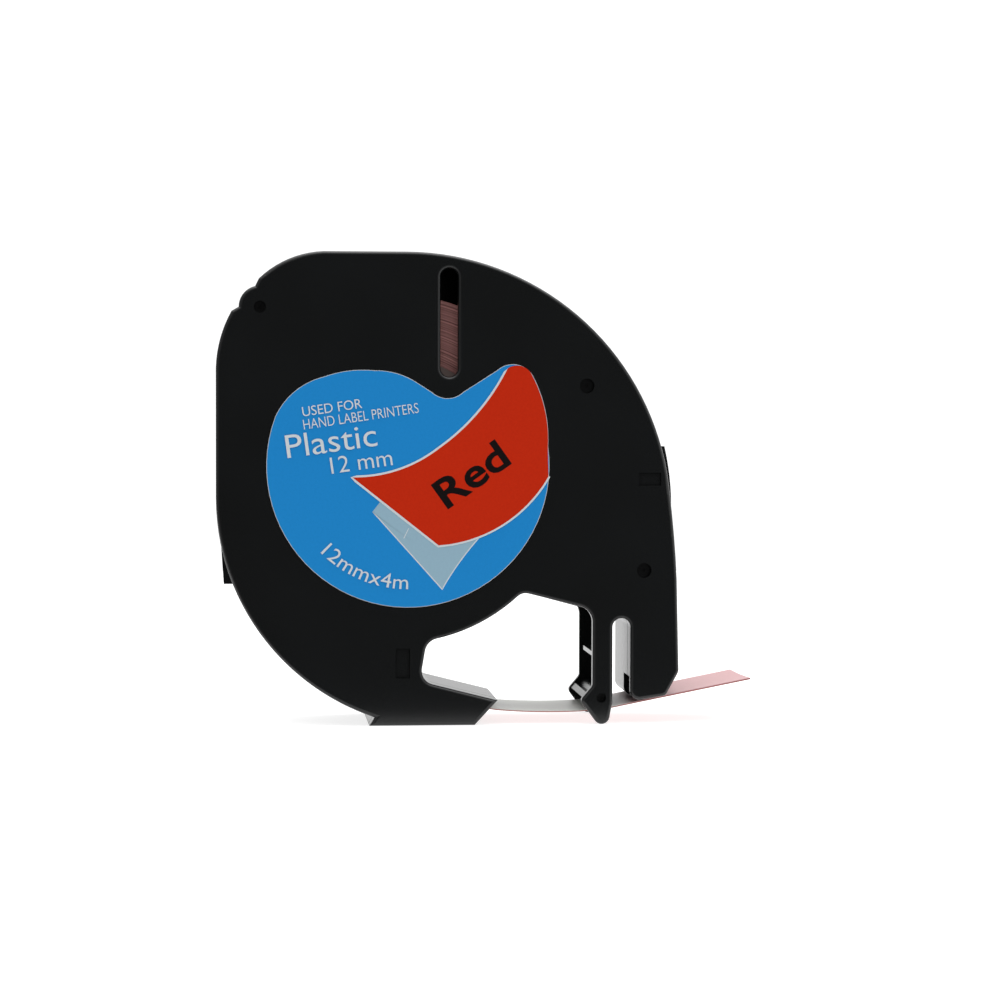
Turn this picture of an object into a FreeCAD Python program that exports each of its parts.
"""Label-tape cassette: a two-shell case with a spool of 12 mm tape and a free tape end.

Frame: millimetres, +Z up, +X towards the free tape end, +Y out of the back face.
The origin is on the spool axis, in the plane of the back face. The front face is at -Y.
"""
import FreeCAD, Part
import math
import os
from FreeCAD import Vector

# ---- driving dimensions -------------------------------------------------------
TAPE_WIDTH = 12.0         # the nominal tape width sets the depth of the case
TAPE_PLAY = 0.4           # free space beside each edge of the tape
PLATE = 1.2               # front and back plates
WALL = 1.0                # side walls
DEPTH = TAPE_WIDTH + 2 * TAPE_PLAY + 2 * PLATE
SKIRT = 3.2               # depth of the front cover, plate and skirt together
FRONT = -DEPTH            # Y of the front face
FRONT_INNER = FRONT + PLATE
BACK_INNER = -PLATE
SPLIT = FRONT + SKIRT     # Y of the joint between the two shells
TAPE_FRONT = FRONT_INNER + TAPE_PLAY
TAPE_BACK = BACK_INNER - TAPE_PLAY

LEFT = -24.8              # left side of the case
TOP = 28.2                # flat top
FOOT = -35.7              # the plane that the case stands on
ROLL_RADIUS = 22.4
CORE_RADIUS = 13.9
FILM = 0.12               # coloured face film
LINER = 0.10              # release liner under it
TAPE = FILM + LINER

HUB_BORE = 4.0            # radius of the bore that takes the printer's spindle
HUB_OUTER = 5.0
HUB_TOP = FRONT_INNER + 0.3
HUB_LID = 1.0             # closes the front end of the bore
SHAFT_PLAY = 0.08         # running fit of the core on the hub
CORE_RIM = 1.2            # wall under the tape
CORE_SLEEVE = 1.3         # wall round the hub
SPOKES = 6
SPOKE_THICK = 1.2

BIG_ARC_CENTRE = (0.8, -7.8)
BIG_ARC_RADIUS = TOP - BIG_ARC_CENTRE[1]
LOW_ARC_CENTRE = (6.4, -4.9)
LOW_ARC_RADIUS = LOW_ARC_CENTRE[0] - LEFT
NOTCH_ARC_CENTRE = (-0.15, -0.7)
NOTCH_ARC_RADIUS = 23.8

SLOT_LEFT = 28.85         # tape slot between the pillar and the right-hand block
SLOT_RIGHT = 31.3
SLOT_TOP = -21.3
SLOT_RADIUS = (SLOT_RIGHT - SLOT_LEFT) / 2
SLOT_CENTRE = (SLOT_RIGHT - SLOT_RADIUS, SLOT_TOP - SLOT_RADIUS)
PILLAR_LEFT = 26.1
NOTCH_CORNER = (PILLAR_LEFT, -20.09)
PILLAR_FOOT = -32.8          # lower end of the pillar's straight left and right sides
NOTCH_TOP = (17.5, -17.95)   # the highest point of the notch
TOE_RADIUS = 1.1             # the pillar's pointed foot
BUMP = 2.85                  # outside radius round the upper left joining pin
WEB_LEFT = 27.7
SHELF_BACK = -4.8            # the pillar's shelf stops short of the back plate

WINDOW = (5.35, 7.7, 11.4, 26.0)          # left, right, bottom and top of the window
# joining pins: X, Z, pin radius, post radius
PINS = [(-18.9, 20.7, 0.75, 1.7), (25.2, 10.2, 0.95, 1.9),
        (33.1, -14.8, 0.95, 1.9), (27.3, -32.1, 0.6, 1.2)]
# latch windows in the front cover: left, right, bottom, top
LATCHES = [(32.4, 35.3, -3.2, -1.6), (-0.6, 1.2, -29.2, -25.3)]
FIT = 0.05                # clearance of pins and latches in the front cover
PIN_RECESS = 0.8          # the pin ends lie this far below the front face
PIN_DIMPLE = 0.25         # radius and depth of the gate mark in each pin end
LATCH_RECESS = 0.3        # the latch ends lie this far below the front face

GUIDE_POST = (0.5, -30.3)
GUIDE_RADIUS = 1.5
GUIDE_GAP = 0.03          # the running tape floats this far off the post
ROLL_GAP = 0.1            # the run stays this far off the turning roll
MOUTH = (13.2, -33.72)    # centre of the tape where it leaves the arm
SAG = (19.7, -34.06)      # lowest point of the stretch across the notch
TAIL_START = (27.4, -33.82)  # the straight tail begins under the pillar
TAIL_END_X = 48.1
TAIL_SPLIT_X = 29.4       # the moving tail begins inside the slot
TAIL_SLOPE = 10.8         # degrees
TAIL_GAP = 0.05           # between the running tape and the moving tail
GROOVE_WIDTH = 0.2        # shadow line between the shells
GROOVE_DEPTH = 0.15
RIM = 0.5                 # rounding of the outer edges of both plates
GUARD_RADIUS = 23.0       # inside radius of the guard wall round the roll
GAP_DEPTH = 6.4           # the gap in the slot's right wall ends here
TAB_DEPTHS = (7.0, 11.5)  # the left and right lips reach this far from the back face
TINY = 1e-6
LABEL = 0.12              # thickness of the printed sticker
LABEL_CENTRE = (1.02, -0.62)
LABEL_RADIUS = 19.07


def at(point, y=0.0):
    """A point of the XZ drawing plane, at a given Y."""
    return Vector(point[0], y, point[1])


def polar(centre, radius, degrees):
    """The point of a circle at an angle measured from +X towards +Z."""
    angle = math.radians(degrees)
    return (centre[0] + radius * math.cos(angle), centre[1] + radius * math.sin(angle))


def bearing(centre, point):
    """The angle of a point seen from a centre."""
    return math.degrees(math.atan2(point[1] - centre[1], point[0] - centre[0]))


def around(centre, radius, first, last):
    """An arc step: its middle and its end, between two angles of a circle."""
    return (polar(centre, radius, (first + last) / 2), polar(centre, radius, last))


def outline(start, steps):
    """A closed wire. A step is an end point, or a pair: a point of the arc and its end."""
    edges = []
    here = start
    for step in steps + [start]:
        if isinstance(step[0], tuple):
            middle, end = step
            edges.append(Part.Arc(at(here), at(middle), at(end)).toShape())
        else:
            end = step
            if math.dist(here, end) < TINY:
                continue
            edges.append(Part.makeLine(at(here), at(end)))
        here = end
    return Part.Wire(edges)


def slab(shape, y_first, y_last):
    """A face or closed wire of the drawing plane, made solid between two Y planes."""
    face = shape if shape.ShapeType == "Face" else Part.Face(shape)
    moved = face.copy()
    moved.translate(Vector(0, y_first, 0))
    return moved.extrude(Vector(0, y_last - y_first, 0))


def box(left, right, y_first, y_last, low, high):
    """A box from its limits in X, Y and Z."""
    return Part.makeBox(right - left, y_last - y_first, high - low, Vector(left, y_first, low))


def rod(centre, radius, y_first, y_last):
    """A cylinder along Y."""
    return Part.makeCylinder(radius, y_last - y_first, at(centre, y_first), Vector(0, 1, 0))


def tangent_corner(before, corner, after, radius):
    """Rounds a corner between two straight runs: the first tangent point and an arc step."""
    inward = math.radians(bearing(corner, before))
    outward = math.radians(bearing(corner, after))
    half = abs(math.remainder(outward - inward, 2 * math.pi)) / 2
    cut = radius / math.tan(half)
    first = (corner[0] + cut * math.cos(inward), corner[1] + cut * math.sin(inward))
    last = (corner[0] + cut * math.cos(outward), corner[1] + cut * math.sin(outward))
    towards = (first[0] + last[0] - 2 * corner[0], first[1] + last[1] - 2 * corner[1])
    scale = (radius / math.sin(half) - radius) / math.hypot(*towards)
    middle = (corner[0] + scale * towards[0], corner[1] + scale * towards[1])
    return [first, (middle, last)]


def fillet_at_circle(first, second, centre, radius, fillet, root):
    """Rounds the corner of a line and a bulging circle.

    The rounding lies to the left of the line from first to second and outside the circle.
    Root picks which of its two places. The result is the tangent point on the line, the
    middle of the rounding, and the tangent point on the circle.
    """
    length = math.dist(first, second)
    along = ((second[0] - first[0]) / length, (second[1] - first[1]) / length)
    left = (-along[1], along[0])
    start = (first[0] + fillet * left[0] - centre[0], first[1] + fillet * left[1] - centre[1])
    half = start[0] * along[0] + start[1] * along[1]
    rest = start[0] ** 2 + start[1] ** 2 - (radius + fillet) ** 2
    travel = -half + root * math.sqrt(half ** 2 - rest)
    middle = (centre[0] + start[0] + travel * along[0], centre[1] + start[1] + travel * along[1])
    on_line = (middle[0] - fillet * left[0], middle[1] - fillet * left[1])
    on_circle = polar(centre, radius, bearing(centre, middle))
    line_angle = bearing(middle, on_line)
    turn = math.remainder(bearing(middle, on_circle) - line_angle, 360)
    return on_line, polar(middle, fillet, line_angle + turn / 2), on_circle


def upper_steps():
    """The outline from the left side, over the top and down the right side to the slot."""
    pin = PINS[0][:2]
    shoulder = 10.0           # degrees, where the top arc runs into the right side
    side_top = (37.65, -16.0)
    side = (37.95, -28.6)
    heel = (36.15, -31.9)
    sole = (SLOT_RIGHT, -32.6)
    slot_side = (SLOT_RIGHT, -28.0)
    return [
        (LEFT, 11.5),
        ((-24.3, 16.1), (-22.7, 20.15)),
        polar(pin, BUMP, 180),
        around(pin, BUMP, 180, 103),
        (-19.05, 24.5),
        ((-15.7, 26.85), (-10.4, TOP)),
        (BIG_ARC_CENTRE[0], TOP),
        around(BIG_ARC_CENTRE, BIG_ARC_RADIUS, 90, shoulder),
        ((37.05, -8.0), side_top),
        *tangent_corner(side_top, side, heel, 1.4),
        *tangent_corner(side, heel, sole, 0.8),
        *tangent_corner(heel, sole, slot_side, 1.2),
    ]


def pillar_steps():
    """The pillar's side plates: the slot's left side, the pointed foot and the notch side."""
    toe = (27.4, FOOT + TOE_RADIUS)
    tip = (24.45, -32.45)
    ankle = (PILLAR_LEFT, -30.5)
    flank = bearing(toe, tip) + math.degrees(math.acos(TOE_RADIUS / math.dist(toe, tip)))
    knee = (SLOT_LEFT, PILLAR_FOOT)
    shin = bearing(toe, knee) + 360 - math.degrees(math.acos(TOE_RADIUS / math.dist(toe, knee)))
    return [
        around(SLOT_CENTRE, SLOT_RADIUS, 90, 180),
        knee,
        polar(toe, TOE_RADIUS, shin),
        around(toe, TOE_RADIUS, shin, flank),
        *tangent_corner(polar(toe, TOE_RADIUS, flank), tip, ankle, 0.7),
        *tangent_corner(tip, ankle, NOTCH_CORNER, 0.8),
        *tangent_corner(ankle, NOTCH_CORNER, NOTCH_TOP, 2.2),
    ]


def lower_steps():
    """The outline from the notch's top corner round the notch, the arm and the foot."""
    foot_heel = (-3.5, -34.55)
    wall_top = (3.45, -25.0)
    wall_foot = (2.65, -29.7)
    tip = (13.2, -32.35)
    on_top, top_bend, arc_start = fillet_at_circle(
        NOTCH_CORNER, NOTCH_TOP, NOTCH_ARC_CENTRE, NOTCH_ARC_RADIUS, 1.6, -1)
    on_wall, wall_bend, arc_end = fillet_at_circle(
        wall_top, wall_foot, NOTCH_ARC_CENTRE, NOTCH_ARC_RADIUS, 2.0, 1)
    return [
        on_top,
        (top_bend, arc_start),
        around(NOTCH_ARC_CENTRE, NOTCH_ARC_RADIUS,
               bearing(NOTCH_ARC_CENTRE, arc_start), bearing(NOTCH_ARC_CENTRE, arc_end)),
        (wall_bend, on_wall),
        *tangent_corner(on_wall, wall_foot, tip, 1.9),
        tip,
        (10.1, FOOT),
        (-4.2, FOOT),
        foot_heel,
        around(LOW_ARC_CENTRE, LOW_ARC_RADIUS, bearing(LOW_ARC_CENTRE, foot_heel), -180),
    ]


def case_outline():
    """The outline that the side walls follow, clockwise from the left side."""
    slot = [(SLOT_RIGHT, SLOT_CENTRE[1]), around(SLOT_CENTRE, SLOT_RADIUS, 0, 90)]
    return outline((LEFT, LOW_ARC_CENTRE[1]), upper_steps() + slot + lower_steps())


def plate_outline():
    """The outline of the front and back plates, which also cover the pillar."""
    slot = [(SLOT_RIGHT, SLOT_CENTRE[1]), around(SLOT_CENTRE, SLOT_RADIUS, 0, 90)]
    steps = upper_steps() + slot + pillar_steps() + lower_steps()
    return outline((LEFT, LOW_ARC_CENTRE[1]), steps)


def pillar_inside(y_first, y_last):
    """The pillar's web, shelf and foot rib, between two Y planes."""
    web = box(WEB_LEFT, SLOT_LEFT, y_first, y_last, PILLAR_FOOT, SLOT_TOP + 0.4)
    shelf = box(PILLAR_LEFT + 0.1, WEB_LEFT + 0.2, y_first, min(y_last, SHELF_BACK), -26.5, -25.9)
    rib = slab(outline((24.9, -32.15), [(25.45, -31.5), (26.0, -31.7), (25.45, -32.4)]),
               y_first, y_last)
    return [web, shelf, rib]


def inner_face(case_wire):
    """The drawing-plane face of the hollow between the side walls."""
    return Part.Face(case_wire).makeOffset2D(-WALL)


def mouth(y_first, y_last):
    """The opening at the arm's end, between the ledge above and the foot below."""
    return slab(outline((8.5, -32.5), [(14.0, -33.5), (14.0, -34.75), (8.5, -34.75)]),
                y_first, y_last)


def side_walls(case_wire, y_first, y_last):
    """The side walls of one shell, open at the arm's end."""
    ring = slab(case_wire, y_first, y_last).cut(slab(inner_face(case_wire), y_first, y_last))
    return ring.cut(mouth(y_first, y_last))


def lies_in(edge, y_plane):
    """Tells whether an edge lies in a plane of constant Y."""
    middle = edge.valueAt((edge.FirstParameter + edge.LastParameter) / 2)
    points = [vertex.Point for vertex in edge.Vertexes] + [middle]
    return all(abs(point.y - y_plane) < TINY for point in points)


def round_rim(solid, y_plane, radius):
    """Rounds the edges that lie in one Y plane."""
    rim = [edge for edge in solid.Edges if lies_in(edge, y_plane)]
    return solid.makeFillet(radius, rim)


def window_outline(grow=0.0):
    """The window: a slot with full-round ends."""
    left, right, low, high = WINDOW
    middle = (left + right) / 2
    radius = (right - left) / 2 + grow
    low_centre = (middle, low + (right - left) / 2)
    high_centre = (middle, high - (right - left) / 2)
    return outline(polar(low_centre, radius, 180), [
        polar(high_centre, radius, 180),
        around(high_centre, radius, 180, 0),
        polar(low_centre, radius, 0),
        around(low_centre, radius, 0, -180),
    ])


def parting_groove(case_wire):
    """The shadow line round the case: a shallow step at the skirt's end."""
    outside = slab(case_wire, SPLIT - GROOVE_WIDTH, SPLIT)
    inside = Part.Face(case_wire).makeOffset2D(-GROOVE_DEPTH)
    return outside.cut(slab(inside, SPLIT - GROOVE_WIDTH, SPLIT))


def wall_gap():
    """The gap at the foot of the slot's right wall, behind the front plate, next to the tape."""
    return box(SLOT_RIGHT - FIT, SLOT_RIGHT + WALL + FIT, FRONT_INNER, FRONT + GAP_DEPTH,
               -33.0, -29.3)


def front_cover():
    """Front plate with its skirt, the window, and holes for the pins and latches."""
    case_wire = case_outline()
    plate = slab(plate_outline(), FRONT, FRONT_INNER)
    plate = plate.cut(slab(window_outline(), FRONT, FRONT_INNER))
    plate = round_rim(plate, FRONT, RIM)
    walls = side_walls(case_wire, FRONT_INNER, SPLIT)
    shell = plate.multiFuse([walls] + pillar_inside(FRONT_INNER, SPLIT))
    shell = shell.cut(parting_groove(case_wire)).cut(wall_gap())
    for x, z, pin, post in PINS:
        shell = shell.cut(rod((x, z), pin + FIT, FRONT, SPLIT))
        shell = shell.cut(rod((x, z), post + FIT, FRONT_INNER, SPLIT))
    for left, right, low, high in LATCHES:
        shell = shell.cut(box(left - FIT, right + FIT, FRONT, SPLIT, low - FIT, high + FIT))
    return shell.removeSplitter()


def side_tabs():
    """Two lips of the rear shell that stand out past the curves on the left and right."""
    inner = slab(inner_face(case_outline()), SPLIT, BACK_INNER)
    left = slab(outline((LEFT, LOW_ARC_CENTRE[1]), [
        (-24.2, -11.0), (-23.8, -17.0), (-20.0, -17.0), (-20.0, LOW_ARC_CENTRE[1])]), -TAB_DEPTHS[0], 0.0)
    right = slab(outline((33.0, 2.0), [
        (36.4, 2.0), ((37.05, -1.5), (37.35, -7.8)), (35.0, -7.8)]), -TAB_DEPTHS[1], 0.0)
    return [left.cut(inner), right.cut(inner)]


def roll_guard():
    """A curved wall of the rear shell that keeps the roll off the right-hand side."""
    ring = rod((0, 0), GUARD_RADIUS + WALL, SPLIT, BACK_INNER)
    ring = ring.cut(rod((0, 0), GUARD_RADIUS, SPLIT, BACK_INNER))
    return ring.common(box(14.0, 30.0, SPLIT, BACK_INNER, -18.0, 15.0))


def joining_pin(x, z, pin, post):
    """A post of the rear shell, and the thinner pin on it that fills a hole of the front plate."""
    tip = rod((x, z), pin, FRONT + PIN_RECESS, FRONT_INNER)
    dimple = rod((x, z), PIN_DIMPLE, FRONT + PIN_RECESS, FRONT + PIN_RECESS + PIN_DIMPLE)
    return [rod((x, z), post, FRONT_INNER, BACK_INNER), tip.cut(dimple)]


def rear_shell():
    """Back plate, side walls, spool hub, guide post, joining posts and latches."""
    case_wire = case_outline()
    plate = round_rim(slab(plate_outline(), FRONT, FRONT_INNER), FRONT, RIM)
    plate = plate.mirror(Vector(0, FRONT / 2, 0), Vector(0, 1, 0))
    walls = side_walls(case_wire, SPLIT, BACK_INNER)
    hub = rod((0, 0), HUB_OUTER, HUB_TOP, BACK_INNER)
    guide = rod(GUIDE_POST, GUIDE_RADIUS, FRONT_INNER + 0.1, BACK_INNER)
    pieces = [walls, hub, guide, roll_guard()] + side_tabs() + pillar_inside(SPLIT, BACK_INNER)
    for pin in PINS:
        pieces += joining_pin(*pin)
    for left, right, low, high in LATCHES:
        pieces.append(box(left, right, FRONT + LATCH_RECESS, BACK_INNER, low, high))
    shell = plate.multiFuse(pieces)
    shell = shell.cut(rod((0, 0), HUB_BORE, HUB_TOP + HUB_LID, 0))
    return shell.cut(wall_gap()).removeSplitter()


def label_outline():
    """The sticker: a circle whose top dips round the window."""
    return outline(polar(LABEL_CENTRE, LABEL_RADIUS, 160), [
        ((-14.2, 9.45), (-10.4, 11.35)),
        ((-7.2, 12.15), (-3.6, 12.22)),
        ((-0.6, 11.85), (2.0, 10.7)),
        (4.2, 9.3),
        ((6.2, 8.5), (8.4, 9.35)),
        (13.0, 12.3),
        ((15.7, 13.05), (17.8, 11.6)),
        ((19.35, 7.6), polar(LABEL_CENTRE, LABEL_RADIUS, 8)),
        around(LABEL_CENTRE, LABEL_RADIUS, 8, -96),
        around(LABEL_CENTRE, LABEL_RADIUS, -96, -200),
    ])


def front_label():
    """The printed sticker on the front cover."""
    return slab(label_outline(), FRONT - LABEL, FRONT)


def spool_core():
    """The core: a rim for the tape, six spokes and a sleeve that runs on the hub."""
    sleeve_radius = HUB_OUTER + CORE_SLEEVE
    rim = rod((0, 0), CORE_RADIUS, TAPE_FRONT, TAPE_BACK)
    rim = rim.cut(rod((0, 0), CORE_RADIUS - CORE_RIM, TAPE_FRONT, TAPE_BACK))
    pieces = [rod((0, 0), sleeve_radius, TAPE_FRONT, TAPE_BACK)]
    for i in range(SPOKES):
        spoke = box(sleeve_radius - 0.5, CORE_RADIUS - CORE_RIM / 2, TAPE_FRONT + 1, TAPE_BACK - 1,
                    -SPOKE_THICK / 2, SPOKE_THICK / 2)
        spoke.rotate(Vector(0, 0, 0), Vector(0, 1, 0), 360 / SPOKES * i)
        pieces.append(spoke)
    core = rim.multiFuse(pieces)
    return core.cut(rod((0, 0), HUB_OUTER + SHAFT_PLAY, TAPE_FRONT, TAPE_BACK)).removeSplitter()


def tape_roll():
    """The wound tape, as one annular roll on the core."""
    roll = rod((0, 0), ROLL_RADIUS, TAPE_FRONT, TAPE_BACK)
    return roll.cut(rod((0, 0), CORE_RADIUS, TAPE_FRONT, TAPE_BACK))


def heading_of_run():
    """The direction, in degrees, of the tape between the roll and the guide post."""
    reach = math.dist((0, 0), GUIDE_POST)
    tilt = math.atan2(GUIDE_POST[0], -GUIDE_POST[1])
    difference = (ROLL_RADIUS + ROLL_GAP + TAPE / 2) - wrap_radius()
    return math.degrees(tilt - math.acos(difference / reach))


def wrap_radius():
    """The radius of the tape's centre line round the guide post."""
    return GUIDE_RADIUS + GUIDE_GAP + TAPE / 2


def beside(centre, radius, heading, offset):
    """A point of the tape to the right of a centre, for a heading; offset is to the left."""
    return polar(centre, radius - offset, heading - 90)


def run_edge(offset):
    """One side of the running tape, offset from its centre line: its start and its steps."""
    first = heading_of_run()
    radius = wrap_radius()
    slope = bearing(GUIDE_POST, MOUTH) + math.degrees(math.asin(radius / math.dist(GUIDE_POST, MOUTH)))
    start = beside((0, 0), ROLL_RADIUS + ROLL_GAP + TAPE / 2, first, offset)
    bend_middle = beside(GUIDE_POST, radius, (first + slope) / 2, offset)
    bend = (bend_middle, beside(GUIDE_POST, radius, slope, offset))
    touch = beside(GUIDE_POST, radius, first, offset)
    mouth_point = (MOUTH[0] + offset * 0.13, MOUTH[1] + offset)
    sag_point = (SAG[0], SAG[1] + offset)
    join = (TAIL_START[0] - offset * 0.15, TAIL_START[1] + offset)
    end = tail_point(TAIL_SPLIT_X, offset)
    return start, [touch, bend, mouth_point, (sag_point, join), end]


def tail_point(x, offset):
    """A point of the straight tail at a given X of its centre line, offset across it."""
    angle = math.radians(TAIL_SLOPE)
    z = TAIL_START[1] + (x - TAIL_START[0]) * math.tan(angle)
    return (x - offset * math.sin(angle), z + offset * math.cos(angle))


def layer(low, high):
    """A layer of the running tape between two offsets from its centre line."""
    start, steps = run_edge(low)
    far_start, far_steps = run_edge(high)
    touch, bend, mouth_point, sag, end = far_steps
    back = [end, sag[1], (sag[0], mouth_point), bend[1], (bend[0], touch), far_start]
    return slab(outline(start, steps + back), TAPE_FRONT, TAPE_BACK)


def tail_layer(low, high):
    """A layer of the straight, moving tail."""
    start_x = TAIL_SPLIT_X + TAIL_GAP
    corners = [(start_x, low), (TAIL_END_X, low), (TAIL_END_X, high), (start_x, high)]
    points = [tail_point(x, offset) for x, offset in corners]
    return slab(outline(points[0], points[1:]), TAPE_FRONT, TAPE_BACK)


LINER_TOP = TAPE / 2
FILM_TOP = LINER_TOP - LINER
PARTS = {
    "front_cover": front_cover,
    "rear_shell": rear_shell,
    "front_label": front_label,
    "spool_core": spool_core,
    "tape_roll": tape_roll,
    "tape_run_liner": lambda: layer(FILM_TOP, LINER_TOP),
    "tape_run_film": lambda: layer(-TAPE / 2, FILM_TOP),
    "tape_tail_liner": lambda: tail_layer(FILM_TOP, LINER_TOP),
    "tape_tail_film": lambda: tail_layer(-TAPE / 2, FILM_TOP),
}

os.makedirs("parts", exist_ok=True)
for name, make in PARTS.items():
    shape = make()
    solids = shape.Solids
    if len(solids) == 1:
        shape = solids[0]
    size = shape.BoundBox
    print(f"{name:16s} solids {len(solids)} valid {shape.isValid()} volume {shape.Volume:9.2f} "
          f"x {size.XMin:.2f}..{size.XMax:.2f} y {size.YMin:.2f}..{size.YMax:.2f} "
          f"z {size.ZMin:.2f}..{size.ZMax:.2f}")
    shape.exportStep(f"parts/{name}.step")
